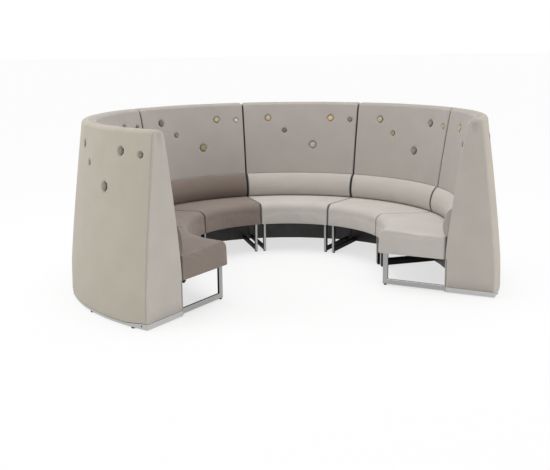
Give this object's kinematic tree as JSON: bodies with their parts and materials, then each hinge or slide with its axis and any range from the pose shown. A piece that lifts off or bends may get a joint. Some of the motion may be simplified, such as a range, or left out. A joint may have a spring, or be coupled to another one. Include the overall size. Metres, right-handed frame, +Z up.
{
  "type": "modular booth sofa",
  "caption": "High-backed round booth sofa of curved modules standing in a three-quarter ring, with button-dotted backs, a lumbar band, padded seats, tube leg frames and levelling feet.",
  "frame": {"origin": "on the floor, under the middle of the ring's bounding box", "axes": "+Z up, +X along the ring's width, +Y towards its closed back, so the ring opens towards -Y"},
  "size_m": [3.4658, 2.8941, 1.326],
  "materials": {
    "outer_fabric": "beige woven wool on the outside, warm grey on the inside",
    "taupe_fabric": "taupe woven wool",
    "pale_fabric": "pale grey-beige woven wool",
    "black_board": "black laminate on board",
    "satin_steel": "satin",
    "black_plastic": "matt black"
  },
  "bodies": {
    "sofa": {"back_shell_1": "outer_fabric", "lumbar_band_1": "taupe_fabric", "seat_cushion_1": "taupe_fabric", "seat_board_1": "black_board", "kick_panel_1": "black_board", "plinth_1": "satin_steel", "leg_frame_1_left": "satin_steel", "leg_frame_1_right": "satin_steel", "back_shell_2": "outer_fabric", "lumbar_band_2": "taupe_fabric", "seat_cushion_2": "taupe_fabric", "seat_board_2": "black_board", "kick_panel_2": "black_board", "plinth_2": "satin_steel", "leg_frame_2_left": "satin_steel", "leg_frame_2_right": "satin_steel", "back_shell_3": "outer_fabric", "lumbar_band_3": "taupe_fabric", "seat_cushion_3": "taupe_fabric", "seat_board_3": "black_board", "kick_panel_3": "black_board", "plinth_3": "satin_steel", "leg_frame_3_left": "satin_steel", "leg_frame_3_right": "satin_steel", "back_shell_4": "outer_fabric", "lumbar_band_4": "pale_fabric", "seat_cushion_4": "pale_fabric", "seat_board_4": "black_board", "kick_panel_4": "black_board", "plinth_4": "satin_steel", "leg_frame_4_left": "satin_steel", "leg_frame_4_right": "satin_steel", "back_shell_5": "outer_fabric", "lumbar_band_5": "pale_fabric", "seat_cushion_5": "pale_fabric", "seat_board_5": "black_board", "kick_panel_5": "black_board", "plinth_5": "satin_steel", "leg_frame_5_left": "satin_steel", "leg_frame_5_right": "satin_steel", "back_shell_6": "outer_fabric", "lumbar_band_6": "pale_fabric", "seat_cushion_6": "pale_fabric", "seat_board_6": "black_board", "kick_panel_6": "black_board", "plinth_6": "satin_steel", "leg_frame_6_left": "satin_steel", "leg_frame_6_right": "satin_steel"},
    "foot_1_left": {"foot_1_left": "black_plastic"},
    "foot_1_right": {"foot_1_right": "black_plastic"},
    "foot_2_left": {"foot_2_left": "black_plastic"},
    "foot_2_right": {"foot_2_right": "black_plastic"},
    "foot_3_left": {"foot_3_left": "black_plastic"},
    "foot_3_right": {"foot_3_right": "black_plastic"},
    "foot_4_left": {"foot_4_left": "black_plastic"},
    "foot_4_right": {"foot_4_right": "black_plastic"},
    "foot_5_left": {"foot_5_left": "black_plastic"},
    "foot_5_right": {"foot_5_right": "black_plastic"},
    "foot_6_left": {"foot_6_left": "black_plastic"},
    "foot_6_right": {"foot_6_right": "black_plastic"}
  },
  "joints": [
    {"name": "foot_1_left_slide", "type": "slide", "parent": "sofa", "child": "foot_1_left", "axis": [0, 0, -1], "range_m": [0, 0.012]},
    {"name": "foot_1_right_slide", "type": "slide", "parent": "sofa", "child": "foot_1_right", "axis": [0, 0, -1], "range_m": [0, 0.012]},
    {"name": "foot_2_left_slide", "type": "slide", "parent": "sofa", "child": "foot_2_left", "axis": [0, 0, -1], "range_m": [0, 0.012]},
    {"name": "foot_2_right_slide", "type": "slide", "parent": "sofa", "child": "foot_2_right", "axis": [0, 0, -1], "range_m": [0, 0.012]},
    {"name": "foot_3_left_slide", "type": "slide", "parent": "sofa", "child": "foot_3_left", "axis": [0, 0, -1], "range_m": [0, 0.012]},
    {"name": "foot_3_right_slide", "type": "slide", "parent": "sofa", "child": "foot_3_right", "axis": [0, 0, -1], "range_m": [0, 0.012]},
    {"name": "foot_4_left_slide", "type": "slide", "parent": "sofa", "child": "foot_4_left", "axis": [0, 0, -1], "range_m": [0, 0.012]},
    {"name": "foot_4_right_slide", "type": "slide", "parent": "sofa", "child": "foot_4_right", "axis": [0, 0, -1], "range_m": [0, 0.012]},
    {"name": "foot_5_left_slide", "type": "slide", "parent": "sofa", "child": "foot_5_left", "axis": [0, 0, -1], "range_m": [0, 0.012]},
    {"name": "foot_5_right_slide", "type": "slide", "parent": "sofa", "child": "foot_5_right", "axis": [0, 0, -1], "range_m": [0, 0.012]},
    {"name": "foot_6_left_slide", "type": "slide", "parent": "sofa", "child": "foot_6_left", "axis": [0, 0, -1], "range_m": [0, 0.012]},
    {"name": "foot_6_right_slide", "type": "slide", "parent": "sofa", "child": "foot_6_right", "axis": [0, 0, -1], "range_m": [0, 0.012]}
  ]
}
